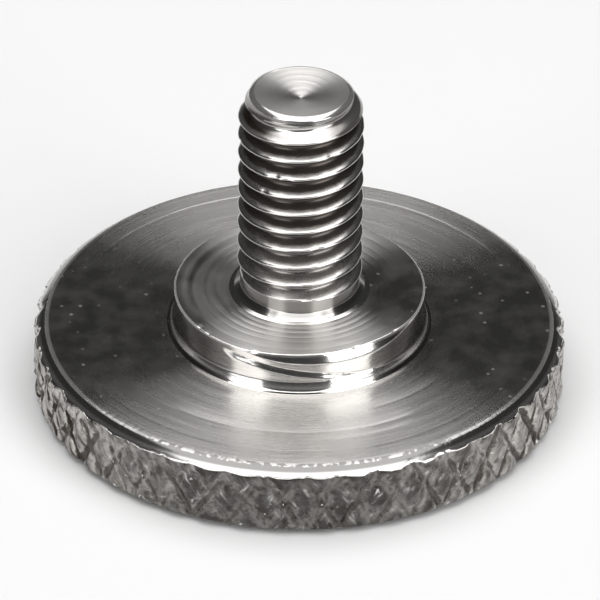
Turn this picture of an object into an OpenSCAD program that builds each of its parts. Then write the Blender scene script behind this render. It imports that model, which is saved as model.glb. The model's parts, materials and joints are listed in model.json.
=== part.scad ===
// Flat knurled thumb screw, turned from one bar: a thin diamond-knurled head,
// a low boss that seats on the work, a short neck and an M6 shank.
// It stands on the flat face of its head, with the shank pointing up (+Z).

/* [Head] */
// Diameter over the knurl
head_d = 25.6; // [22:0.1:32]
// Thickness between the head's two flat faces
head_h = 3.75; // [3:0.05:6]
// Width of the rim's bevels, measured along the flat faces
bevel_w = 0.6; // [0.4:0.05:0.9]
// Height of the rim's bevels, measured down the rim
bevel_h = 0.5; // [0.4:0.05:0.9]

/* [Knurl] */
// Number of grooves that lean each way
knurl_count = 45; // [36:1:56]
// Depth of the grooves
knurl_depth = 0.3; // [0.1:0.02:0.4]
// Lean of the grooves, away from the screw's axis
knurl_lean = 30; // [20:1:40]
// Angle between the two sides of a groove
groove_angle = 100; // [80:5:110]
// Turn of the whole pattern about the screw's axis
knurl_turn = 3; // [0:1:8]

/* [Boss] */
// Diameter of the boss under the seat
boss_d = 12.2; // [10:0.1:16]
// Height of the seat above the head's face
boss_h = 1.9; // [1:0.1:4]
// Break on the boss's sharp outer edge
boss_break = 0.1; // [0.05:0.05:0.3]
// Radius left by the tool's nose where the boss meets the head
boss_root_r = 0.15; // [0.05:0.05:0.4]

/* [Shank] */
// Nominal diameter of the thread
thread_d = 6; // [5:1:8]
// Pitch of the thread
thread_pitch = 1; // [0.8:0.05:1.25]
// Length of the shank, from the seat to its end
shank_l = 11.1; // [8:0.1:30]
// Length of the plain neck between the seat and the thread
neck_l = 0.9; // [0.7:0.1:2]
// Fillet between the neck and the seat
neck_fillet_r = 0.6; // [0.55:0.05:0.7]

/* [End] */
// Chamfer on the end of the thread
end_chamfer = 0.75; // [0.5:0.05:1]
// Depth of the shallow cone faced into the end
dish_h = 0.35; // [0.1:0.05:0.5]

/* [Hidden] */

// Facets of the turned surfaces in a preview mesh
turned_fn = 180;
// Material that joined outlines share, and that cutters stand proud by
overlap = 0.5;

head_r = head_d / 2;
boss_r = boss_d / 2;
thread_r = thread_d / 2;
// The neck is a little wider than the root of the thread
neck_r = thread_r - 0.55 * thread_pitch;
seat_z = head_h + boss_h;
neck_top_z = seat_z + neck_l;
end_z = seat_z + shank_l;
end_r = thread_r - end_chamfer;

// The bevels leave a plain cylinder between them for the knurl
module head_outline() {
    polygon([
        [0, 0],
        [head_r - bevel_w, 0],
        [head_r, bevel_h],
        [head_r, head_h - bevel_h],
        [head_r - bevel_w, head_h],
        [0, head_h]
    ]);
}

module boss_outline() {
    polygon([
        [0, head_h - overlap],
        [boss_r, head_h - overlap],
        [boss_r, seat_z - boss_break],
        [boss_r - boss_break, seat_z],
        [0, seat_z]
    ]);
}

// The shank is left at the thread's outer diameter. Its lower end tapers to the
// neck, and its upper end has a chamfer around a shallow cone.
module shank_outline() {
    polygon([
        [0, seat_z - overlap],
        [neck_r, seat_z - overlap],
        [neck_r, neck_top_z],
        [thread_r, neck_top_z + thread_r - neck_r],
        [thread_r, end_z - end_chamfer],
        [end_r, end_z],
        [0, end_z - dish_h]
    ]);
}

// Fills the corner at radius r and height z with a concave round
module corner_fillet(r, z, fillet_r) {
    difference() {
        translate([r - overlap, z - overlap])
            square([fillet_r + overlap, fillet_r + overlap]);
        translate([r + fillet_r, z + fillet_r])
            circle(r = fillet_r, $fn = 64);
        translate([r - 2 * overlap, z + fillet_r])
            square([2 * overlap, overlap]);
    }
}

module turned_outline() {
    head_outline();
    boss_outline();
    shank_outline();
    corner_fillet(boss_r, head_h, boss_root_r);
    corner_fillet(neck_r, seat_z, neck_fillet_r);
}

// One straight V-shaped cutter, its point at the bottom of the groove. The rim
// is thin, so a straight groove follows the knurling wheel's helix closely.
module groove_cutter() {
    half_w = (knurl_depth + overlap) * tan(groove_angle / 2);
    cutter_l = head_h / cos(knurl_lean) + 2 * overlap;
    linear_extrude(height = cutter_l, center = true)
        polygon([
            [-knurl_depth, 0],
            [overlap, half_w],
            [overlap, -half_w]
        ]);
}

// Two crossing sets of grooves leave the raised diamonds
module knurl_grooves() {
    for (lean = [-knurl_lean, knurl_lean])
        for (i = [0 : knurl_count - 1])
            rotate([0, 0, knurl_turn + i * 360 / knurl_count])
                translate([head_r, 0, head_h / 2])
                    rotate([lean, 0, 0])
                        groove_cutter();
}

module thumb_screw() {
    color("silver")
        difference() {
            rotate_extrude($fn = turned_fn)
                turned_outline();
            knurl_grooves();
        }
}

thumb_screw();
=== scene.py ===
"""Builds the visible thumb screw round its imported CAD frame, with its finish, floor, lamps and camera."""

import json
import math

import bpy
import numpy as np
from bpy.props import FloatProperty, FloatVectorProperty, IntProperty, PointerProperty
from bpy.types import Operator, Panel, PropertyGroup
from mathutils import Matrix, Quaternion, Vector, noise


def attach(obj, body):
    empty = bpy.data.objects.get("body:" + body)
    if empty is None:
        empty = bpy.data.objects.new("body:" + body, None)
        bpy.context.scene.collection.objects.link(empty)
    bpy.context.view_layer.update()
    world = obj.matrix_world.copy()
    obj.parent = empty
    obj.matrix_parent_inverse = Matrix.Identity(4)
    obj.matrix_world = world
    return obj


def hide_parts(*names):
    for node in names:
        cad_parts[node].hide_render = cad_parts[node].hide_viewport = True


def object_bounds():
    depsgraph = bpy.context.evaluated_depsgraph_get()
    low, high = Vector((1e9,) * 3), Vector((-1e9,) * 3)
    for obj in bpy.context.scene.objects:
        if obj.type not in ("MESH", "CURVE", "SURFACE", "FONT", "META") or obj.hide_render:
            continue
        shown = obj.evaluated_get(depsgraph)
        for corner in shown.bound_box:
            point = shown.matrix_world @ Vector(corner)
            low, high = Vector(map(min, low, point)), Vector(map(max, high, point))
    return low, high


bl_info = {
    "name": "Thumb Screw",
    "version": (1, 0, 0),
    "blender": (4, 5, 0),
    "location": "View3D > Sidebar > Thumb Screw",
    "description": "Builds a flat knurled thumb screw with its turned steel finish and a plain studio",
    "category": "Object",
}

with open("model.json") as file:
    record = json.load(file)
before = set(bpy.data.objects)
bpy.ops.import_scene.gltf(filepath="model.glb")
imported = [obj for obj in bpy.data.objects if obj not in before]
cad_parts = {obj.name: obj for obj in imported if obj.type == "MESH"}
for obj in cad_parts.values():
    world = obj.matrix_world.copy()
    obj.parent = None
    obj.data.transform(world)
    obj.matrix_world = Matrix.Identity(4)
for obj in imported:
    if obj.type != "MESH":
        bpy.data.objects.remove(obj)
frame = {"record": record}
CAD_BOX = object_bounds()

MM = 0.001
NODE = "thumb_screw"
BODY = "root"
MOUNTS = {mount["name"]: mount for mount in frame["record"]["mounts"]}
HEAD_R = CAD_BOX[1].x
END_Z = CAD_BOX[1].z
SEAT_Z = MOUNTS["seat"]["pos_m"][2]
THREAD_R = MOUNTS["thread"]["dims"]["r_mm"] * MM

KNURL_LEAN = 30  # degrees from the axis

# Material slots of the screw's one mesh
FACED, SEAT, BRIGHT, KNURLED, THREADED = range(5)


# -------------------- properties


def length(name, description, default_mm):
    """A length property, given in millimetres and kept in metres."""
    kept = {"default": default_mm * MM, "subtype": "DISTANCE", "unit": "LENGTH", "precision": 5}
    return FloatProperty(name=name, description=description, **kept)


def turn(name, description, default_degrees):
    """An angle property, given in degrees."""
    return FloatProperty(
        name=name, description=description, default=math.radians(default_degrees), subtype="ANGLE"
    )


def colour(name, description, default):
    """A linear RGB colour property."""
    return FloatVectorProperty(
        name=name, description=description, default=default, subtype="COLOR", min=0.0, max=1.0
    )


def share(name, description, default):
    """A property between 0 and 1."""
    return FloatProperty(name=name, description=description, default=default, min=0.0, max=1.0)


def brightness(name, description, default):
    """How bright a lamp's face is."""
    return FloatProperty(name=name, description=description, default=default, min=0.0)


class ScrewSizes(PropertyGroup):
    """Sizes of the screw that its frame doesn't give."""

    head_h: length("Head Height", "Thickness between the head's flat faces", 3.75)
    bevel_w: length("Bevel Width", "Width of the rim's bevels along the flat faces", 0.67)
    bevel_h: length("Bevel Height", "Height of the rim's bevels down the rim", 0.58)
    knurl_count: IntProperty(
        name="Knurl Count", description="Grooves that lean each way", default=45, min=12
    )
    knurl_depth: length("Knurl Depth", "Depth of the grooves under the rim's own surface", 0.19)
    knurl_half: length("Groove Half Width", "Half the width of a groove", 0.44)
    knurl_ridge: length("Ridge Height", "Height of the metal raised beside each groove", 0.05)
    knurl_lean: turn("Knurl Lean", "Lean of the grooves from the axis", KNURL_LEAN)
    knurl_turn: turn("Knurl Turn", "Turn of the whole pattern about the axis", 3)
    boss_r: length("Boss Radius", "Radius of the boss under the seat", 6.01)
    neck_r: length("Neck Radius", "Radius of the plain neck under the thread", 2.85)
    neck_h: length("Neck Height", "Plain length between the seat and the thread", 1.04)
    neck_cone: length("Neck Cone", "Height of the cone at the foot of the neck", 0.38)
    pitch: length("Pitch", "Pitch of the thread", 1.0)
    thread_start: length("Thread Start", "Height of a crest, on the +X side, less whole turns", 0.88)
    end_r: length("End Radius", "Radius of the end's edge before it is rounded", 2.26)
    end_slope: turn("End Slope", "Slope of the end's chamfer from the axis", 18.0)
    end_facet: length("End Facet", "Width of the facet round the end", 0.22)
    dish_h: length("Dish Depth", "Depth of the cone faced into the end", 0.42)


class SteelFinish(PropertyGroup):
    """Colours and roughness of the steel."""

    bright: colour("Bright Steel", "Freshly turned steel", (0.64, 0.625, 0.605))
    rolled: colour("Rolled Steel", "Rolled steel of the knurl", (0.50, 0.48, 0.455))
    # Also the colour of painted shade on the boss wall's sides, the lower bevel, the thread's sides near
    # the end and dark knurl streaks.
    grime: colour("Grime", "Dried oil in grooves and corners", (0.045, 0.034, 0.027))
    dust: colour("Dust", "Dust specks", (0.75, 0.74, 0.72))
    face_rough: share("Face Roughness", "Roughness of the faced surfaces", 0.27)
    bright_rough: share("Bright Roughness", "Roughness of the smooth cuts", 0.17)


class StudioSetup(PropertyGroup):
    """Floor, lamps and camera."""

    floor: colour("Floor", "Colour of the floor", (0.80, 0.80, 0.80))
    room: colour("Room", "Colour of the unlit room round the lamps", (0.04, 0.04, 0.04))
    overhead_glow: brightness("Overhead Glow", "Brightness of the lamp above", 2.2)
    left_glow: brightness("Left Glow", "Brightness of the left lamp", 2.6)
    right_glow: brightness("Right Glow", "Brightness of the right lamp", 3.4)
    elevation: turn("Elevation", "Height of the camera above the horizon", 34.15)
    roll: turn("Roll", "Turn of the camera about its view", 0.6)
    distance: length("Distance", "Camera to the middle of the head's face", 384.0)
    view_w: length("View Width", "Width of the view at the screw", 28.8)
    raised: length("Raised Aim", "How far above the head's face the camera aims", 0.922)


# -------------------- outline


def unit(arm):
    """The same direction with a length of 1."""
    return arm / np.linalg.norm(arm)


def rounded(corners, steps=3):
    """Points along an outline of (radius, height, round) corners, with an arc of steps at each round."""
    points = []
    for i, (r, z, size) in enumerate(corners):
        if size == 0 or i in (0, len(corners) - 1):
            points.append((r, z))
            continue
        here = np.array([r, z])
        before, after = (unit(np.array(corners[k][:2]) - here) for k in (i - 1, i + 1))
        half = math.acos(np.clip(before @ after, -1, 1)) / 2
        centre = here + unit(before + after) * size / math.sin(half)
        start = here + before * size / math.tan(half) - centre
        stop = here + after * size / math.tan(half) - centre
        sweep = math.pi - 2 * half
        for k in range(steps + 1):
            t = k / steps
            arm = (math.sin((1 - t) * sweep) * start + math.sin(t * sweep) * stop) / math.sin(sweep)
            points.append(tuple(centre + arm))
    return points


def spaced(points, longest, guard):
    """The same outline with no step over longest, and a point guard away from each end of a long step."""
    result = [points[0]]
    for (r0, z0), (r1, z1) in zip(points, points[1:]):
        span = math.hypot(r1 - r0, z1 - z0)
        stops = [1.0]
        if span > 4 * guard:
            inner = max(1, math.ceil((span - 2 * guard) / longest))
            ends = np.linspace(guard / span, 1 - guard / span, inner + 1)
            stops = [*ends, 1.0]
        result += [(r0 + (r1 - r0) * t, z0 + (z1 - z0) * t) for t in stops]
    return result


# -------------------- mesh


class Skin:
    """A closed skin, made ring by ring from the underside's centre to the end's centre."""

    def __init__(self):
        self.points = []
        self.along = []
        self.faces = []
        self.zones = []
        self.count = 0
        self.last = None
        self.path = 0.0
        self.place = (0.0, 0.0)

    def add(self, x, y, z, along):
        """New points, and their numbers. along is how far up the outline they are."""
        x, y, z, along = np.broadcast_arrays(x, y, z, along)
        self.points.append(np.stack([x.ravel(), y.ravel(), z.ravel()], axis=1))
        self.along.append(along.ravel())
        first = self.count
        self.count += x.size
        return np.arange(first, self.count).reshape(x.shape)

    def step_to(self, r, z):
        """Moves up the outline to a new place, and gives the way so far."""
        self.path += math.hypot(r - self.place[0], z - self.place[1])
        self.place = (r, z)
        return self.path

    def ring(self, radius, height, columns):
        """A ring of points; radius and height may be one number or one for each column."""
        angle = column_angles(columns)
        along = self.step_to(float(np.mean(radius)), float(np.mean(height)))
        return self.add(radius * np.cos(angle), radius * np.sin(angle), height + 0 * angle, along)

    def join(self, upper, zone):
        """Faces between the last ring and this one, which becomes the last."""
        lower = self.last
        self.last = upper
        if lower is None:
            return
        if len(lower) != len(upper):
            self.keep(zip_rings(lower, upper), zone)
            return
        quads = np.stack([lower, np.roll(lower, -1), np.roll(upper, -1), upper], axis=1)
        self.keep(quads.tolist(), zone)

    def keep(self, faces, zone):
        """Faces, without those that have closed up."""
        for face in faces:
            corners = [p for i, p in enumerate(face) if p != face[i - 1]]
            if len(corners) >= 3:
                self.faces.append(corners)
                self.zones.append(zone)

    def rings(self, outline, columns, zone):
        """Joins on a plain ring for each point of the outline."""
        for r, z in outline:
            self.join(self.ring(r, z, columns), zone)

    def pole(self, z, zone):
        """Joins on a single point on the axis."""
        self.join(self.add(np.zeros(1), np.zeros(1), np.full(1, z), self.step_to(0.0, z)), zone)


def column_angles(columns):
    """Angles of a ring's points."""
    return np.arange(columns) * 2 * math.pi / columns


def zip_rings(lower, upper):
    """Triangles between two rings with different numbers of points."""
    n, m = len(lower), len(upper)
    if n == 1:
        return [(lower[0], upper[k], upper[k - 1]) for k in range(m)]
    if m == 1:
        return [(lower[k - 1], lower[k], upper[0]) for k in range(n)]
    faces = []
    i = j = 0
    while i < n or j < m:
        below = j >= m or (i < n and (i + 1) * m <= (j + 1) * n)
        third = lower[(i + 1) % n] if below else upper[(j + 1) % m]
        faces.append((lower[i % n], third, upper[j % m]))
        i, j = (i + 1, j) if below else (i, j + 1)
    return faces


def wobble(points, scale, seed):
    """Smooth noise between -1 and 1 at each point, with features of about the given size."""
    shift = Vector((seed * 7.3, seed * 3.1, seed * 5.7))
    return np.array([noise.noise(Vector(p) / scale + shift) for p in points])


def smooth_step(t):
    """0 to 1 with flat ends."""
    t = np.clip(t, 0, 1)
    return t * t * (3 - 2 * t)


def soft_min(a, b, width):
    """The smaller of two surfaces, with their meeting rounded over width."""
    h = np.clip(0.5 + 0.5 * (b - a) / width, 0, 1)
    return b + (a - b) * h - width * h * (1 - h)


def soft_max(a, b, width):
    """The larger of two surfaces, with their meeting rounded over width."""
    return -soft_min(-a, -b, width)


def nick_depths(angle, radius, count, widest, deepest, seed, placed=()):
    """How deep small nicks dent a ring at each angle: some placed, the rest at random."""
    rng = np.random.default_rng(seed)
    depth = np.zeros_like(angle)
    nicks = [(rng.uniform(0, 360), rng.uniform(0.35, 1), rng.uniform(0.2, 1)) for _ in range(count)]
    for place, width, size in [*placed, *nicks]:
        apart = np.abs((angle - math.radians(place) + math.pi) % (2 * math.pi) - math.pi) * radius
        depth = np.maximum(depth, deepest * size * (1 - smooth_step(apart / (widest * width))))
    return depth


# -------------------- screw


class ScrewMaker:
    """Makes the screw's skin from its sizes."""

    # Points round each zone, and rows to a turn of thread
    RIM_COLUMNS_PER_GROOVE = 21
    FACE_COLUMNS = 330
    SEAT_COLUMNS = 180
    NECK_COLUMNS = 150
    SHANK_COLUMNS = 126
    ROWS_PER_PITCH = 20

    # Rows up a bevel, as shares of its height, and the share with a bright finish
    BEVEL_ROWS = (0.12, 0.28, 0.45, 0.62, 0.78, 0.9, 1.0)
    BEVEL_BRIGHT = 0.62
    # The face's rounded edge: how far in and how far down, in mm
    EDGE_ROUND = ((0.0, 0.03), (0.08, 0.014), (0.18, 0.004), (0.28, 0.0))
    # Deeper arcs in the face: radius in mm, and the degrees that they run between
    FACE_ARCS = ((10.2, 268, 306), (9.6, 229, 309), (8.3, 288, 331), (7.5, 238, 275))
    # Section of such an arc: how far in and how far down, in mm
    ARC_SECTION = ((-0.05, 0.0), (0.0, 0.0), (0.05, 0.006), (0.09, 0.012), (0.14, 0.0))
    # Nicks in the seat's edge: degrees round it, and how wide and deep
    SEAT_NICKS = ((182, 1.0, 1.0), (223.9, 0.7, 0.7), (248.9, 0.9, 0.9), (298, 1.3, 1.2))
    # The seat's edge: how far in and down, in mm, and how much a nick dents it
    SEAT_EDGE = ((0.0, 0.05, 0.4), (0.015, 0.02, 1), (0.05, 0.004, 1), (0.1, 0.0, 0.4))
    # The seat's coarse rings: radius and depth in mm
    SEAT_RINGS = ((5.35, 0.010), (4.75, 0.012), (4.35, 0.022), (3.95, 0.03), (3.6, 0.026))
    # Knocks on the thread: degrees round it, and height in mm
    THREAD_KNOCKS = ((300, 14.72), (246, 13.58), (287, 9.7))
    # The end's facet: how far in and how far down, in widths of the facet
    END_FACET = ((0.06, 0.62), (0.5, 0.34), (0.94, 0.04), (1.1, 0.0))
    THREAD_DEPTH = 0.6134  # in pitches
    CREST_ROUND = 0.05  # how far the flanks would rise past the crest, in pitches

    def __init__(self, sizes):
        self.s = sizes
        self.skin = Skin()
        self.root_r = THREAD_R - self.THREAD_DEPTH * sizes.pitch
        self.neck_top = SEAT_Z + sizes.neck_h
        self.edge_r = HEAD_R - sizes.bevel_w
        self.boss_foot = sizes.boss_r + 0.29 * MM
        self.rim_columns = sizes.knurl_count * self.RIM_COLUMNS_PER_GROOVE
        self.thread_end = END_Z - 0.7 * sizes.end_facet

    def make(self):
        """The whole skin, from the underside up."""
        self.underside()
        self.rim()
        self.face()
        self.boss()
        self.seat()
        self.neck()
        self.thread()
        self.end()
        return self.skin

    def underside(self):
        """The flat that the screw stands on."""
        first_r, last_r = 0.4 * MM, self.edge_r - 0.08 * MM
        self.skin.pole(0.0, FACED)
        flat = spaced([(first_r, 0.0), (last_r, 0.0)], 3 * MM, 0.3 * MM)
        self.skin.rings(flat, self.FACE_COLUMNS, FACED)

    def knurl_radius(self, angle, height):
        """Radius of the rim, where a knurling wheel has rolled two crossing sets of grooves.

        The metal pushed out of each groove stands as a broken ridge on both sides of it, and the middle
        of each diamond keeps the bar's own surface.
        """
        s = self.s
        spacing = 2 * math.pi * HEAD_R / s.knurl_count
        points = np.stack([HEAD_R * np.cos(angle), HEAD_R * np.sin(angle), height], axis=1)
        patches = wobble(points, 1.9 * MM, seed=1)
        ripple = wobble(points, 0.7 * MM, seed=11)
        grain = wobble(points, 0.3 * MM, seed=9)
        pressed = self.pressed(angle, height)
        cuts, ridges, gaps, numbers = [], [], [], []
        for side in (-1, 1):
            leaned = side * (height - s.head_h / 2) * math.tan(s.knurl_lean)
            along = HEAD_R * (angle - s.knurl_turn) - leaned
            along = along + 0.10 * MM * wobble(points, 2.2 * MM, seed=4 + side)
            along = along + 0.06 * MM * wobble(points, 0.6 * MM, seed=14 + side)
            number = np.round(along / spacing)
            across = np.abs(along - number * spacing) * math.cos(s.knurl_lean)
            half = s.knurl_half * (1 + 0.12 * np.sin(number * 2.4 + side) + 0.2 * patches)
            depth = s.knurl_depth * pressed * (1 + 0.2 * np.sin(number * 1.7 - side) + 0.3 * ripple)
            cuts.append(soft_max(depth * (1 - across / half), 0 * across, 0.06 * MM))
            ridges.append(np.exp(-(((across - half - 0.02 * MM) / (0.08 * MM)) ** 2)))
            gaps.append(across)
            numbers.append(np.mod(number, s.knurl_count))
        cut = soft_max(cuts[0], cuts[1], 0.05 * MM)
        clear = [1 - smooth_step(c / (0.08 * MM)) for c in cuts]
        ridge = np.maximum(ridges[0] * clear[1], ridges[1] * clear[0])
        broken = smooth_step(2.6 * ripple + 1.2 * grain - 0.5)
        luck = smooth_step(0.4 + 1.2 * np.sin(numbers[0] * 12.99 + numbers[1] * 7.23))
        burr = luck * np.exp(-((gaps[0] ** 2 + gaps[1] ** 2) / (0.17 * MM) ** 2))
        rough = 0.010 * MM * grain + 0.012 * MM * ripple + 0.014 * MM * patches
        surface = HEAD_R - s.knurl_ridge - 0.012 * MM + rough + s.knurl_ridge * ridge * broken
        return surface - cut * (1 - burr) + 0.05 * MM * burr

    def pressed(self, angle, height):
        """How hard the wheel pressed: lighter along the top of one stretch, harder at two sides."""
        lightest, spread = 245, 46  # degrees
        lighter = np.exp(-(((np.degrees(angle) - lightest) / spread) ** 2))
        near_top = smooth_step((height - 0.58 * self.s.head_h) / (0.3 * self.s.head_h))
        return (1 - 0.6 * lighter * near_top) * (1 + 0.45 * np.cos(angle) ** 2)

    def bevel_radius(self, rise):
        """Radius of a bevel at this rise from the flat face: straight at first, then rolling over."""
        straight, flat, steep = (1 / math.tan(math.radians(t)) for t in (37, 36, 48))
        inner = 0.45 * self.s.bevel_h
        outer = self.s.bevel_h - inner
        over = max(rise - inner, 0)
        curved = min(over, outer)
        rolled = curved * (flat - (flat - steep) * curved / (2 * outer))
        beyond = max(over - outer, 0) * steep
        return self.edge_r + min(rise, inner) * straight + (rolled + beyond)

    def rim(self):
        """Bevels and knurl, on rows that the leaning grooves cross corner to corner."""
        s, skin = self.s, self.skin
        columns = self.rim_columns
        angle = column_angles(columns)
        step = 2 * math.pi * HEAD_R / columns / math.tan(s.knurl_lean)
        middle = s.head_h / 2
        reach = int((middle - 1.08 * s.bevel_h) / step)
        rises = [part * s.bevel_h for part in self.BEVEL_ROWS]
        knurled = [middle + k * step for k in range(-reach, reach + 1)]
        rows = [*rises, *knurled, *(s.head_h - r for r in rises[::-1])]
        nicks = nick_depths(angle, HEAD_R, count=90, widest=0.16 * MM, deepest=0.03 * MM, seed=5)
        grid = []
        for z in rows:
            rise = min(z, s.head_h - z)
            bevel = np.full(columns, self.bevel_radius(rise))
            if rise <= 0.2 * s.bevel_h:
                bevel -= nicks * (1 if z > middle else 0.5)
            radius = soft_min(self.knurl_radius(angle, np.full(columns, z)), bevel, 0.05 * MM)
            grid.append(skin.ring(np.minimum(radius, HEAD_R), z, columns))
        skin.join(grid[0], FACED)
        points = np.concatenate(skin.points)
        for z0, z1, lower, upper in zip(rows, rows[1:], grid, grid[1:]):
            between = (z0 + z1) / 2
            edge = min(between, s.head_h - between) < self.BEVEL_BRIGHT * s.bevel_h
            self.split_row(lower, upper, points, BRIGHT if edge else KNURLED)
        skin.last = grid[-1]

    def split_row(self, lower, upper, points, zone):
        """Triangles between two rows, each pair split along the diagonal that the groove follows."""
        radius = np.hypot(points[:, 0], points[:, 1])
        a, b = lower, np.roll(lower, -1)
        c, d = np.roll(upper, -1), upper
        rising = np.abs(radius[a] - radius[c]) < np.abs(radius[b] - radius[d])
        for p, q, r, t, up in zip(a, b, c, d, rising):
            pair = [(p, q, r), (p, r, t)] if up else [(p, q, t), (q, r, t)]
            self.skin.keep(pair, zone)

    def face(self):
        """The head's face, with a rounded, nicked edge and one deeper ring left by the facing tool."""
        s, skin = self.s, self.skin
        angle = column_angles(self.rim_columns)
        nicks = nick_depths(angle, self.edge_r, count=110, widest=0.13 * MM, deepest=1.0, seed=6)
        worn = 0.35 + 0.6 * smooth_step((-np.sin(angle) - 0.6) / 0.3)
        for inset, drop in self.EDGE_ROUND:
            r = self.edge_r - inset * MM * (1 + 0.4 * nicks)
            height = s.head_h - MM * (drop * worn + 0.006 * nicks * (drop > 0))
            skin.join(skin.ring(r, height, self.rim_columns), FACED)
        ring_r = 0.9 * self.edge_r + 0.2 * MM
        self.faced_rings(
            (self.edge_r - 0.4 * MM, s.head_h, 0),
            (ring_r, s.head_h, 0),
            (ring_r - 0.06 * MM, s.head_h - 0.014 * MM, 0.05 * MM),
            (ring_r - 0.2 * MM, s.head_h - 0.010 * MM, 0),
            (10.45 * MM, s.head_h - 0.006 * MM, 0),
        )
        degrees = np.degrees(column_angles(self.FACE_COLUMNS))
        for r, first, last in self.FACE_ARCS:
            mark = smooth_step((degrees - first) / 9) * smooth_step((last - degrees) / 9)
            for inset, deep in self.ARC_SECTION:
                height = s.head_h - (0.005 + deep * mark) * MM
                skin.join(skin.ring((r - inset) * MM, height, self.FACE_COLUMNS), FACED)
        foot = self.boss_foot
        self.faced_rings(
            (foot + 0.4 * MM, s.head_h - 0.002 * MM, 0), (foot + 0.04 * MM, s.head_h - 0.045 * MM, 0)
        )

    def faced_rings(self, *corners):
        """Plain rings of the face through these corners."""
        outline = spaced(rounded(corners), 1.2 * MM, 0.06 * MM)
        self.skin.rings(outline, self.FACE_COLUMNS, FACED)

    def boss_inset(self, angle, z):
        """How far the boss's wall stands inside its radius.

        The top is broken to a steeper cone that starts on one side and deepens round the boss, and below
        it runs the slanting line where the tool was drawn off.
        """
        degrees = np.degrees(angle)
        start, grows, fades_at, fades_over = 243, 14, 58, 45  # degrees
        turned = (degrees - start) % 360
        deep = (1 - np.exp(-turned / grows)) * (1 - smooth_step((turned - fades_at) / fades_over))
        cone_z = SEAT_Z - 0.5 * MM * deep
        cone = soft_max((z - cone_z) * math.tan(math.radians(26)), 0 * angle, 0.02 * MM)
        under = (self.drawn_line(degrees) - z) / MM
        ends = smooth_step((degrees - 232) / 8) * smooth_step((314 - degrees) / 26)
        groove = np.clip(np.minimum(1 + under / 0.06, 1 - under / 0.3), 0, 1)
        return cone + 0.13 * MM * groove * ends

    @staticmethod
    def drawn_line(degrees):
        """Height of the slanting line at each angle."""
        return SEAT_Z - 0.53 * MM - 0.0155 * MM * (degrees - 248.7)

    def boss(self):
        """The boss rises from a flared foot, and its top edge is a little rounded and nicked."""
        self.boss_wall(self.flare())
        self.boss_edge()

    def flare(self):
        """The flared foot of the boss, and the height where it ends."""
        s, skin = self.s, self.skin
        shallow, steep = math.radians(30), math.radians(65)
        fillet = 0.3 * MM
        heel_z = s.head_h + fillet * (math.cos(shallow) - math.cos(steep))
        heel_r = self.boss_foot - fillet * (math.sin(steep) - math.sin(shallow))
        top = heel_z + (heel_r - s.boss_r) * math.tan(steep)
        for t in np.linspace(shallow, steep, 6):
            r = self.boss_foot - fillet * (math.sin(t) - math.sin(shallow))
            rise = fillet * (math.cos(shallow) - math.cos(t)) - 0.045 * MM * (t == shallow)
            skin.join(skin.ring(r, s.head_h + rise, self.FACE_COLUMNS), BRIGHT)
        for k in (0.3, 0.6, 0.85):
            r, z = heel_r + (s.boss_r - heel_r) * k, heel_z + (top - heel_z) * k
            skin.join(skin.ring(r, z, self.FACE_COLUMNS), BRIGHT)
        return top

    def boss_wall(self, top):
        """The boss's wall, on rows that crowd round the slanting line."""
        s, skin = self.s, self.skin
        columns = self.FACE_COLUMNS
        angle = column_angles(columns)
        rng = np.random.default_rng(31)
        degrees = np.degrees(angle)
        low, high = top + 0.03 * MM, SEAT_Z - 0.1 * MM
        line = np.clip(self.drawn_line(degrees), low + 0.3 * MM, high - 0.1 * MM)
        follow = smooth_step((degrees - 222) / 16) * smooth_step((330 - degrees) / 20)
        line = line * follow + (low + high) / 2 * (1 - follow)
        below = low + (line - 0.32 * MM - low) * np.linspace(0, 1, 6)[:-1, None]
        inside = line - np.linspace(0.32, -0.08, 9)[:, None] * MM
        above = line + 0.08 * MM + (high - line - 0.08 * MM) * np.linspace(0, 1, 13)[1:, None]
        for z in (*below, *inside, *above):
            worn = rng.normal(0, 0.002) * MM
            skin.join(skin.ring(s.boss_r - self.boss_inset(angle, z) + worn, z, columns), BRIGHT)

    def boss_edge(self):
        """The seat's nicked edge."""
        s, skin = self.s, self.skin
        angle = column_angles(self.FACE_COLUMNS)
        edge = s.boss_r - self.boss_inset(angle, SEAT_Z - 0.04 * MM)
        common = {"count": 30, "widest": 0.2 * MM, "deepest": 0.05 * MM, "seed": 8}
        nicks = nick_depths(angle, s.boss_r, placed=self.SEAT_NICKS, **common)
        for inset, drop, dented in self.SEAT_EDGE:
            r = edge - inset * MM - 0.6 * dented * nicks
            z = SEAT_Z - drop * MM - 0.7 * dented * nicks
            skin.join(skin.ring(r, z, self.FACE_COLUMNS), BRIGHT)

    def seat(self):
        """The boss's flat top, with coarse rings that deepen towards the neck."""
        s = self.s
        seat = [(s.boss_r - 0.35 * MM, SEAT_Z, 0)]
        for r_mm, deep in self.SEAT_RINGS:
            r = r_mm * MM
            seat += [(r + 0.13 * MM, SEAT_Z, 0), (r, SEAT_Z - deep * MM, 0.06 * MM)]
            seat += [(r - 0.1 * MM, SEAT_Z, 0)]
        seat += [(self.foot_r() + 0.05 * MM, SEAT_Z, 0)]
        self.skin.rings(spaced(rounded(seat, 2), 0.5 * MM, 0.04 * MM), self.SEAT_COLUMNS, SEAT)

    def foot_r(self):
        """Radius where the foot of the neck meets the seat."""
        return self.s.neck_r + 1.25 * self.s.neck_cone

    def neck(self):
        """A short cone, flatter at its foot, leads from the seat to the plain neck."""
        s = self.s
        outline = rounded(
            [
                (self.foot_r(), SEAT_Z, 0),
                (s.neck_r + 0.76 * s.neck_cone, SEAT_Z + 0.24 * s.neck_cone, 0.15 * MM),
                (s.neck_r, SEAT_Z + s.neck_cone, 0.06 * MM),
                (s.neck_r, SEAT_Z + s.neck_h - 0.04 * MM, 0),
            ]
        )
        self.skin.rings(spaced(outline, 0.2 * MM, 0.02 * MM), self.NECK_COLUMNS, BRIGHT)

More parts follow.
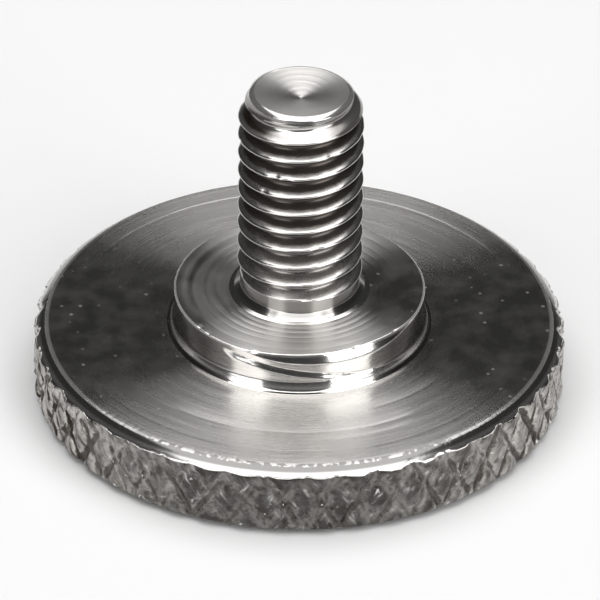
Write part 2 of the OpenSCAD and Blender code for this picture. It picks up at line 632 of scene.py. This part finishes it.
    def shank_radius(self, angle, z):
        """Radius of the shank: a right-hand thread between the neck's taper and the end's chamfer."""
        s = self.s
        turns = (z - s.thread_start) / s.pitch - angle / (2 * math.pi)
        number = np.round(turns)
        off_crest = np.abs(turns - number) * s.pitch
        flank = THREAD_R + self.CREST_ROUND * s.pitch - off_crest * math.sqrt(3)
        thread = soft_min(flank, THREAD_R - 0.014 * MM + 0 * flank, 0.06 * MM)
        thread = soft_max(thread, self.root_r + 0 * flank, 0.13 * MM)
        points = np.stack([THREAD_R * np.cos(angle), THREAD_R * np.sin(angle), z], axis=1)
        worn = smooth_step((thread - self.root_r) / (0.6 * MM))
        thread = thread + 0.014 * MM * wobble(points, 0.5 * MM, seed=21) * worn
        dents = smooth_step((wobble(points, 0.42 * MM, seed=23) - 0.52) / 0.12) * worn
        thread = thread - 0.05 * MM * dents
        for degrees, level in self.THREAD_KNOCKS:
            apart = THREAD_R * (angle - math.radians(degrees))
            near = np.exp(-((apart / (0.22 * MM)) ** 2) - ((z - level * MM) / (0.16 * MM)) ** 2)
            thread = thread - 0.09 * MM * near
        below = self.thread_end - z
        chamfer = s.end_r + s.end_facet + below * math.tan(s.end_slope)
        wider = s.end_r + s.end_facet + 0.06 * MM + (below - 0.2 * MM) * math.tan(1.83 * s.end_slope)
        radius = soft_min(thread, soft_max(chamfer, wider, 0.03 * MM), 0.03 * MM)
        run_out = s.neck_r - np.maximum(z - self.neck_top, 0) * 1.2
        radius = soft_max(radius, run_out, 0.04 * MM)
        run_in = smooth_step((z - self.neck_top) / (0.05 * MM))
        return s.neck_r + (radius - s.neck_r) * run_in

    def thread(self):
        """Rows that climb with the thread, closer at its crest, cut off level at the neck and the end."""
        s, skin = self.s, self.skin
        columns, per_pitch = self.SHANK_COLUMNS, self.ROWS_PER_PITCH
        low, high = self.neck_top, self.thread_end
        angle = column_angles(columns)
        bottom = skin.ring(self.shank_radius(angle, low + 0 * angle), low, columns)
        skin.join(bottom, THREADED)
        start_way = skin.path
        first = math.floor((low - s.thread_start) / s.pitch - 1)
        rows = (math.ceil((high - low) / s.pitch) + 3) * per_pitch
        turns = first + np.arange(rows) / per_pitch
        bunched = 0.55
        phase = turns - bunched * np.sin(2 * math.pi * turns) / (2 * math.pi)
        height = s.thread_start + s.pitch * (phase[None, :] + angle[:, None] / (2 * math.pi))
        gap = 0.25 * s.pitch / per_pitch
        inside = (height > low + gap) & (height < high - gap)
        wide = np.broadcast_to(angle[:, None], height.shape)[inside]
        tall = height[inside]
        radius = self.shank_radius(wide, tall)
        stretch = 1.35  # way over crests and roots for each step up
        ids = np.empty(height.shape, int)
        ids[inside] = skin.add(
            radius * np.cos(wide), radius * np.sin(wide), tall, start_way + (tall - low) * stretch
        )
        skin.path = start_way + (high - low) * stretch
        skin.place = (s.end_r + s.end_facet, high)
        top = skin.ring(self.shank_radius(angle, high + 0 * angle), high, columns)
        ids = np.where(height <= low + gap, bottom[:, None], ids)
        ids = np.where(height >= high - gap, top[:, None], ids)
        turned = np.full((1, height.shape[1]), top[0])
        turned[0, :-per_pitch] = ids[0, per_pitch:]
        full = np.concatenate([ids, turned], axis=0)
        quads = [full[:-1, :-1], full[1:, :-1], full[1:, 1:], full[:-1, 1:]]
        skin.keep(np.stack(quads, axis=-1).reshape(-1, 4).tolist(), THREADED)
        skin.last = top

    def end(self):
        """A facet leads from the end's chamfer into a shallow cone with a few feed rings."""
        s, skin = self.s, self.skin
        columns = self.SHANK_COLUMNS
        angle = column_angles(columns)
        outer = self.shank_radius(angle, self.thread_end + 0 * angle)
        for inward, drop in self.END_FACET:
            skin.join(skin.ring(outer - s.end_facet * inward, END_Z - s.end_facet * drop, columns), BRIGHT)
        inner = s.end_r - 0.1 * s.end_facet
        slope = s.dish_h / inner
        feed_mark = 0.006 * MM
        dish = []
        for k, r in enumerate(np.linspace(inner - 0.06 * MM, 0.12 * MM, 24)):
            dish.append((r, END_Z - s.dish_h + slope * r - (feed_mark if k % 4 == 1 else 0)))
        skin.rings(dish, columns, BRIGHT)
        skin.pole(END_Z - s.dish_h - 0.01 * MM, BRIGHT)


def new_object(name, data):
    """An object in the scene that holds this mesh, lamp or camera."""
    made = bpy.data.objects.new(name, data)
    bpy.context.scene.collection.objects.link(made)
    return made


def mesh_from(skin, name):
    """A Blender object from a finished skin."""
    points = np.concatenate(skin.points)
    mesh = bpy.data.meshes.new(name)
    mesh.from_pydata(points.tolist(), [], skin.faces)
    mesh.polygons.foreach_set("material_index", skin.zones)
    mesh.polygons.foreach_set("use_smooth", [True] * len(mesh.polygons))
    mesh.update()
    mesh.set_sharp_from_angle(angle=math.radians(60))
    add_wrap(mesh, skin, points)
    return new_object(name, mesh)


def add_wrap(mesh, skin, points):
    """A UV map with the turn about the axis across it and the way along the outline up it."""
    starts = np.cumsum([0, *(len(f) for f in skin.faces)])[:-1]
    corner = np.concatenate([np.array(f) for f in skin.faces])
    face = np.repeat(np.arange(len(skin.faces)), [len(f) for f in skin.faces])
    way = np.concatenate(skin.along)[corner]
    on_axis = np.hypot(points[corner, 0], points[corner, 1]) < 1e-7
    across = np.arctan2(points[corner, 1], points[corner, 0]) / (2 * math.pi) % 1
    across[across > 1 - 1e-6] = 0
    widest = np.maximum.reduceat(np.where(on_axis, 0, across), starts)[face]
    across = np.where((across == 0) & (widest > 0.5), 1.0, across)
    total = np.add.reduceat(np.where(on_axis, 0, across), starts)
    held = np.add.reduceat(np.where(on_axis, 0, 1), starts)
    across = np.where(on_axis, (total / held)[face], across)
    layer = mesh.uv_layers.new(name="OFBake")  # the export's own name for a map
    layer.data.foreach_set("uv", np.stack([across, way / way.max()], axis=1).ravel())


# -------------------- materials


class Value:
    """A shader socket that Python arithmetic works on: each operation adds its Math node."""

    def __init__(self, net, socket):
        self.net = net
        self.socket = socket

    def _math(self, operation, *terms):
        return self.net.add("ShaderNodeMath", {"operation": operation}, *terms)

    def __add__(self, other):
        return self._math("ADD", self, other)

    __radd__ = __add__

    def __mul__(self, other):
        return self._math("MULTIPLY", self, other)

    __rmul__ = __mul__

    def __sub__(self, other):
        return self._math("SUBTRACT", self, other)

    def __rsub__(self, other):
        return self._math("SUBTRACT", other, self)

    def __truediv__(self, other):
        return self._math("DIVIDE", self, other)


class Net:
    """The node tree of one material."""

    def __init__(self, name):
        self.material = bpy.data.materials.new(name)
        self.material.use_nodes = True
        self.tree = self.material.node_tree
        self.tree.nodes.clear()

    def add(self, kind, settings, *terms, out=0, **named):
        """Adds a node, sets its settings, then its inputs in order or by name, and gives one output."""
        node = self.tree.nodes.new(kind)
        for key, value in settings.items():
            if key == "stops":
                self.set_stops(node.color_ramp, value)
            else:
                setattr(node, key, value)
        sockets = {s.identifier.replace(" ", "_"): s for s in node.inputs}
        for socket, term in [*zip(node.inputs, terms), *((sockets[k], v) for k, v in named.items())]:
            if isinstance(term, Value):
                self.tree.links.new(term.socket, socket)
            else:
                socket.default_value = term
        if not node.outputs:
            return node
        outputs = {s.identifier: s for s in node.outputs}
        return Value(self, node.outputs[0] if out == 0 else outputs[out])

    @staticmethod
    def set_stops(ramp, stops):
        """Puts the given (place, grey) stops on a colour ramp."""
        while len(ramp.elements) < len(stops):
            ramp.elements.new(0.5)
        for element, (place, grey) in zip(ramp.elements, stops):
            element.position = place
            element.color = (grey, grey, grey, 1)

    def finish(self, **sockets):
        """The shader and the output."""
        shader = self.add("ShaderNodeBsdfPrincipled", {}, **sockets)
        self.add("ShaderNodeOutputMaterial", {}, shader)
        return self.material


class SteelNet(Net):
    """Patterns shared by the screw's finishes, all in the object's own coordinates."""

    def __init__(self, name):
        super().__init__(name)
        self.place = self.add("ShaderNodeTexCoord", {}, out="Object")
        self.x, self.y, self.z = (
            self.add("ShaderNodeSeparateXYZ", {}, self.place, out=axis) for axis in "XYZ"
        )
        self.radius = self.add("ShaderNodeMath", {"operation": "SQRT"}, self.x * self.x + self.y * self.y)
        self.sideways = self.x / self.radius
        facing = self.add("ShaderNodeTexCoord", {}, out="Normal")
        self.upward = self.add("ShaderNodeSeparateXYZ", {}, facing, out="Z")

    def rings(self, per_mm, detail=2.0, broken=2.0):
        """Marks that run round the axis, this many to a millimetre along radius and height.

        broken is how often they change on the way round.
        """
        run = (self.radius + self.z * 1.13) * (per_mm / MM)
        across, ahead = self.sideways * broken, self.y / self.radius * broken
        place = self.add("ShaderNodeCombineXYZ", {}, across, ahead, run)
        return self.add("ShaderNodeTexNoise", {}, place, Scale=1.0, Detail=detail)

    def streaks(self, side, size_mm):
        """Streaks that lean with one set of the knurl's grooves, 1 for those that rise anticlockwise."""
        lean = self.z * (-side * math.tan(math.radians(KNURL_LEAN)) / HEAD_R)
        turning = {"rotation_type": "Z_AXIS"}
        upright = self.add("ShaderNodeVectorRotate", turning, Vector=self.place, Angle=lean)
        drawn = self.add("ShaderNodeVectorMath", {"operation": "MULTIPLY"}, upright, (1.0, 1.0, 0.5))
        return self.add("ShaderNodeTexNoise", {}, drawn, Scale=1 / (size_mm * MM), Detail=2.0)

    def blotches(self, size_mm, detail=3.0):
        """Cloudy variation with features of about this size."""
        return self.add("ShaderNodeTexNoise", {}, self.place, Scale=1 / (size_mm * MM), Detail=detail)

    def specks(self, apart_mm, size_mm):
        """1 in small round specks, 0 elsewhere."""
        near = self.add("ShaderNodeTexVoronoi", {}, self.place, Scale=1 / (apart_mm * MM), out="Distance")
        edge = size_mm / apart_mm
        return self.ramp(near, (edge * 0.6, 1.0), (edge, 0.0))

    def ramp(self, value, *stops):
        """A value led through (place, grey) stops."""
        return self.add("ShaderNodeValToRGB", {"stops": stops}, value)

    def outward(self, *stops):
        """A ramp out from the axis, with 1 at the head's edge."""
        return self.ramp(self.radius * (1 / HEAD_R), *stops)

    def across_shank(self, *stops):
        """A ramp out from the axis, with 1 at the thread's crest."""
        return self.ramp(self.radius * (1 / THREAD_R), *stops)

    def upwards(self, *stops):
        """A ramp up the screw, from 0 at its foot to 1 at its end."""
        return self.ramp(self.z * (1 / END_Z), *stops)

    def forward(self, *stops):
        """A ramp from the axis towards the front, with 1 at the head's edge."""
        return self.ramp(self.y * (-1 / HEAD_R), *stops)

    def mix(self, amount, first, second):
        """A colour between two colours."""
        ends = {"Factor_Float": amount, "A_Color": first, "B_Color": second}
        return self.add("ShaderNodeMix", {"data_type": "RGBA"}, out="Result_Color", **ends)

    def bump(self, height, distance_mm):
        """Small relief of this height for the shader's normal."""
        return self.add("ShaderNodeBump", {}, Height=height, Distance=distance_mm * MM, Strength=1.0)


def rgba(colour_value, shade=1.0):
    """A colour with full alpha, darkened by shade."""
    return (*(c * shade for c in colour_value), 1.0)


def faced_steel(finish, name="faced_steel", wider=0.0, haze=0.055, banded=0.0):
    """Bright steel with concentric tool marks that spread its reflections outwards from the axis."""
    net = SteelNet(name)
    coarse = net.rings(1.9, 3.0, 1.6)
    fine = net.rings(5.0, 1.0, 3.0)
    height = coarse * 0.75 + fine * 0.25
    smudge = net.ramp(net.blotches(1.3, 4.0), (0.4, 0), (0.8, 1))
    flecks = net.ramp(net.blotches(0.3, 3.0), (0.62, 0), (0.76, 1))
    dust = net.specks(3.1, 0.07)
    base = net.mix(net.blotches(2.6) * 0.5 + coarse * 0.3, rgba(finish.bright), rgba(finish.bright, 0.8))
    base = net.mix(dust, base, rgba(finish.dust))
    edge = net.outward((0.938, 0), (0.942, 1))
    # Painted shade: towards the front the face's edge ring is darkened in blotches, which breaks its
    # highlight into dots; where the ring is not darkened its Metallic is lowered a little.
    worn = net.ramp(net.blotches(0.3, 1.0), (0.48, 1), (0.56, 0)) * net.forward((0.72, 0), (0.8, 1))
    base = net.mix(edge * worn * 0.8, base, rgba(finish.bright, 0.25))
    grit = net.specks(0.7, 0.11) * net.ramp(net.blotches(1.1, 1.0), (0.46, 0), (0.6, 0.22))
    bands = net.ramp(net.rings(1.4, 1.0, 0.4), (0.44, 0), (0.56, 1))
    bands = bands * net.ramp(net.x * (-1 / HEAD_R), (0.02, 0), (0.2, banded))
    roughness = fine * 0.04 + coarse * 0.04 + (finish.face_rough - 0.04 + wider)
    return net.finish(
        Base_Color=base,
        Metallic=1 - dust - bands - grit - edge * (1 - worn) * 0.14 - smudge * (flecks + 1.0) * haze,
        Roughness=roughness,
        Anisotropic=0.97,
        Anisotropic_Rotation=0.25,
        Normal=net.bump(height + dust * 0.6, 0.03),
    )


def seat_steel(finish):
    """The boss's top, faced more coarsely."""
    return faced_steel(finish, "seat_steel", 0.06, 0.1, 0.13)


def bright_steel(finish):
    """Smooth cuts: bevels, boss wall, neck and end. Painted shade darkens the bevels' inner half, the
    wall's sides and the lower bevel.
    """
    net = SteelNet("bright_steel")
    fine = net.rings(7.0, 2.0, 1.0)
    in_end = net.upwards((0.97, 0), (0.973, 1)) * net.across_shank((0.745, 1), (0.76, 0))
    facet = net.upwards((0.98, 0), (0.99, 1)) * net.across_shank((0.745, 0), (0.76, 1))
    neck = net.outward((0.235, 1), (0.24, 0)) * net.upwards((0.5, 1), (0.51, 0))
    # Painted shade: the inner half of both bevels, darkened to grey all round.
    painted_bevel_shade = net.outward((0.9, 0), (0.905, 1), (0.971, 1), (0.974, 0))
    bevel = net.outward((0.9, 0), (0.905, 1))
    on_wall = net.outward((0.43, 0), (0.44, 1), (0.5, 1), (0.51, 0))
    lip = on_wall * net.upwards((0.331, 0), (0.333, 1))
    # Painted shade: the boss wall's left and right sides are darkened to the grime colour, less at its top
    # lip and not at its foot.
    painted_side_shade = on_wall * net.ramp(net.sideways * net.sideways, (0.3, 0), (0.55, 1))
    base = net.mix(net.blotches(1.8) * 0.6, rgba(finish.bright), rgba(finish.bright, 0.85))
    base = net.mix(painted_bevel_shade, base, rgba(finish.bright, 0.36))
    base = net.mix(neck * 0.6, base, rgba(finish.bright, 0.4))
    base = net.mix(on_wall + in_end * 0.45, base, rgba(finish.bright, 1.22))
    # Painted shade: the lowest part, the lower bevel, is darkened towards the grime colour.
    below = net.upwards((0.05, 0.6), (0.06, 0))
    foot = net.outward((0.4755, 0), (0.478, 1), (0.482, 1), (0.4845, 0))
    base = net.mix(painted_side_shade * (0.7 - lip * 0.7) * (1 - foot) + below, base, rgba(finish.grime))
    worn_end = net.across_shank((0.12, 0), (0.6, 1))
    roughness = net.blotches(0.8) * 0.06 + in_end * (worn_end * 0.06 + 0.2) + (finish.bright_rough - 0.05)
    metal = 1 - bevel * 0.05 - facet * 0.14 - lip * 0.25 - foot * 0.16
    return net.finish(
        Base_Color=base,
        Metallic=metal - in_end * (worn_end * 0.08 + 0.01),
        Roughness=roughness,
        Anisotropic=0.6,
        Anisotropic_Rotation=0.25,
        Normal=net.bump(fine * 0.8 + net.blotches(0.25, 3.0) * 0.2, 0.010),
    )


def knurled_steel(finish):
    """Rolled steel: dull on the flats, lighter on the groove walls, and bright where it stands proud."""
    net = SteelNet("knurled_steel")
    depth = (HEAD_R - net.radius) * (1 / (0.25 * MM))
    uneven = net.blotches(0.4, 5.0)
    broad = net.blotches(1.7, 3.0)
    # Painted shade: the knurl darkens towards the front, in broad blotches.
    painted_front_shade = net.ramp(net.y * (-1 / HEAD_R) + broad * 0.3 - 0.15, (0.55, 0), (0.95, 1))
    flat = net.ramp(depth + uneven * 0.9 - 0.45, (0.3, 1), (0.7, 0))
    grime = net.ramp(depth + uneven * 0.9 - 0.45, (0.8, 0), (1.0, 1))
    proud = net.ramp(depth, (0.12, 1), (0.2, 0))
    bevel = net.ramp(net.upward, (0.5, 0), (0.62, 1))
    wall = net.mix(painted_front_shade, rgba(finish.rolled, 1.1), rgba(finish.rolled, 0.42))
    dull = net.mix(painted_front_shade, rgba(finish.rolled, 0.66), rgba(finish.rolled, 0.16))
    base = net.mix(flat * (broad + 0.5), wall, dull)
    base = net.mix(grime * (0.9 - painted_front_shade * 0.35), base, rgba(finish.grime))
    base = net.mix(net.ramp(uneven, (0.3, 0.5), (0.5, 0)), base, rgba(finish.grime))
    right = net.ramp(net.sideways * 0.2 + net.blotches(0.9, 1.0), (0.44, 0), (0.56, 1))
    # Painted shade and painted glints: streaks that lean with the grooves, dark at low values and light at
    # high ones.
    painted_streak = net.streaks(1, 0.36) * right + net.streaks(-1, 0.36) * (1 - right)
    clean = 1 - grime * 0.8
    # Painted shade: firmer dark streaks at the far left and right of the knurl.
    at_sides = net.ramp(net.sideways * 0.5 + 0.5, (0.04, 1), (0.13, 0), (0.95, 0), (0.98, 0.5))
    painted_side_streak = net.ramp(painted_streak, (0.42, 0.8), (0.47, 0)) * at_sides
    base = net.mix(net.ramp(painted_streak, (0.36, 0.5), (0.48, 0)) + painted_side_streak, base, rgba(finish.grime))
    # Painted glints: the light streaks, kept out of the grooves.
    painted_glint = net.ramp(painted_streak, (0.57, 0), (0.68, 0.35), (0.76, 0.9)) * clean
    base = net.mix(painted_glint, base, rgba(finish.bright))
    base = net.mix(proud + bevel, base, rgba(finish.bright, 1.1))
    rolled = 1 - bevel
    return net.finish(
        Base_Color=base,
        Metallic=1.0,
        Roughness=(uneven * 0.25 + 0.03) * rolled + 0.13,
        Normal=net.bump(net.blotches(0.16, 4.0) * rolled, 0.06),
    )


def threaded_steel(finish):
    """Bright flanks near the crest, and oil dried dark in the root, wiped off near the end."""
    net = SteelNet("threaded_steel")
    depth = (THREAD_R - net.radius) * (1 / (0.6 * MM))
    uneven = net.blotches(0.5, 4.0)
    wiped = net.upwards((0.44, 0.6), (0.62, 1), (0.925, 1), (0.95, 0))
    grime = net.ramp(depth + uneven * 0.3 - 0.15, (0.2, 0), (0.5, 1)) * wiped
    near_end = net.upwards((0.9, 0), (0.94, 1))
    # Painted shade: near the end, the left and right sides of the thread are darkened.
    painted_side_shade = net.ramp(net.sideways * net.sideways, (0.12, 0), (0.4, 1)) * near_end
    base = net.mix(grime * 0.93 + painted_side_shade * 0.6, rgba(finish.bright), rgba(finish.grime))
    return net.finish(
        Base_Color=base,
        Metallic=1 - grime * 0.15 - painted_side_shade * 0.15,
        Roughness=uneven * 0.14 + grime * 0.1 + 0.13,
        Normal=net.bump(net.rings(9.0) * 0.6 + uneven * 0.4, 0.010),
    )


# -------------------- studio


def add_floor(studio):
    """A plain matt floor, wide enough to fill the view."""
    mesh = bpy.data.meshes.new("floor")
    half = 6.0
    corners = [(-half, -half, 0), (half, -half, 0), (half, half, 0), (-half, half, 0)]
    mesh.from_pydata(corners, [], [(0, 1, 2, 3)])
    mesh.materials.append(Net("floor").finish(Base_Color=rgba(studio.floor), Roughness=0.9))
    new_object("floor", mesh)


def add_softbox(name, place, width, height, glow):
    """A rectangular lamp whose face is turned to the screw."""
    lamp = bpy.data.lights.new(name, "AREA")
    lamp.shape = "RECTANGLE"
    lamp.size = width
    lamp.size_y = height
    lamp.energy = glow * math.pi * width * height
    box = new_object(name, lamp)
    box.location = place
    box.rotation_euler = Vector(place).to_track_quat("Z", "Y").to_euler()
    return box


def around(azimuth, elevation):
    """A direction from the screw. Azimuth 0 is the camera's side, and positive is to its right."""
    a, e = math.radians(azimuth), math.radians(elevation)
    return Vector((math.sin(a) * math.cos(e), -math.cos(a) * math.cos(e), math.sin(e)))


def add_lamps(studio):
    """A wide lamp overhead and one on each side of the camera, in a dim room."""
    overhead = add_softbox("overhead_lamp", (0, -0.06, 1.0), 1.24, 1.56, studio.overhead_glow)
    overhead.rotation_euler = (0, 0, 0)
    add_softbox("front_lamp_left", around(-45, 30), 0.5, 0.7, studio.left_glow)
    add_softbox("front_lamp_right", around(46, 30), 0.65, 0.7, studio.right_glow)
    world = bpy.data.worlds.new("room")
    world.use_nodes = True
    world.node_tree.nodes["Background"].inputs["Color"].default_value = rgba(studio.room)
    bpy.context.scene.world = world


def add_camera(studio, head_h):
    """The camera is placed by the middle of the head's face, and aims a little above it."""
    e = studio.elevation
    back = Vector((0, -math.cos(e), math.sin(e)))
    up = Vector((0, math.sin(e), math.cos(e)))
    face = Vector((0, 0, head_h))
    data = bpy.data.cameras.new("camera")
    camera = new_object("camera", data)
    camera.location = face + back * studio.distance
    aim = camera.location - (face + up * studio.raised + Vector((0.03 * MM, 0, 0)))
    camera.rotation_euler = (aim.to_track_quat("Z", "Y") @ Quaternion((0, 0, 1), studio.roll)).to_euler()
    data.lens = data.sensor_width * studio.distance / studio.view_w
    data.clip_start = 0.01
    data.clip_end = 20.0
    bpy.context.scene.camera = camera


# -------------------- operators


class OBJECT_OT_thumb_screw_build(Operator):
    """Build the turned, knurled and threaded screw"""

    bl_idname = "object.thumb_screw_build"
    bl_label = "Build Screw"

    def execute(self, context):
        skin = ScrewMaker(context.scene.screw_sizes).make()
        screw = mesh_from(skin, "screw_body")
        finish = context.scene.steel_finish
        for make in (faced_steel, seat_steel, bright_steel, knurled_steel, threaded_steel):
            screw.data.materials.append(make(finish))
        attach(screw, BODY)
        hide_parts(NODE)
        return {"FINISHED"}


class OBJECT_OT_thumb_screw_studio(Operator):
    """Set up the floor, the lamps and the camera"""

    bl_idname = "object.thumb_screw_studio"
    bl_label = "Build Studio"

    def execute(self, context):
        studio = context.scene.studio_setup
        add_floor(studio)
        add_lamps(studio)
        add_camera(studio, context.scene.screw_sizes.head_h)
        context.scene.view_settings.view_transform = "Standard"
        return {"FINISHED"}


class VIEW3D_PT_thumb_screw(Panel):
    """Sizes, finish and studio of the thumb screw"""

    bl_idname = "VIEW3D_PT_thumb_screw"
    bl_label = "Thumb Screw"
    bl_space_type = "VIEW_3D"
    bl_region_type = "UI"
    bl_category = "Thumb Screw"

    def draw(self, context):
        layout = self.layout
        for group in (getattr(context.scene, name) for name in GROUPS):
            for name in group.__annotations__:
                layout.prop(group, name)
        layout.operator(OBJECT_OT_thumb_screw_build.bl_idname)
        layout.operator(OBJECT_OT_thumb_screw_studio.bl_idname)


GROUPS = {"screw_sizes": ScrewSizes, "steel_finish": SteelFinish, "studio_setup": StudioSetup}
CLASSES = (
    *GROUPS.values(), OBJECT_OT_thumb_screw_build, OBJECT_OT_thumb_screw_studio, VIEW3D_PT_thumb_screw
)


def register():
    for cls in CLASSES:
        bpy.utils.register_class(cls)
    for name, group in GROUPS.items():
        setattr(bpy.types.Scene, name, PointerProperty(type=group))


def unregister():
    for name in GROUPS:
        delattr(bpy.types.Scene, name)
    for cls in reversed(CLASSES):
        bpy.utils.unregister_class(cls)


def main():
    register()
    bpy.ops.object.thumb_screw_build()
    bpy.ops.object.thumb_screw_studio()


if __name__ == "__main__":
    main()
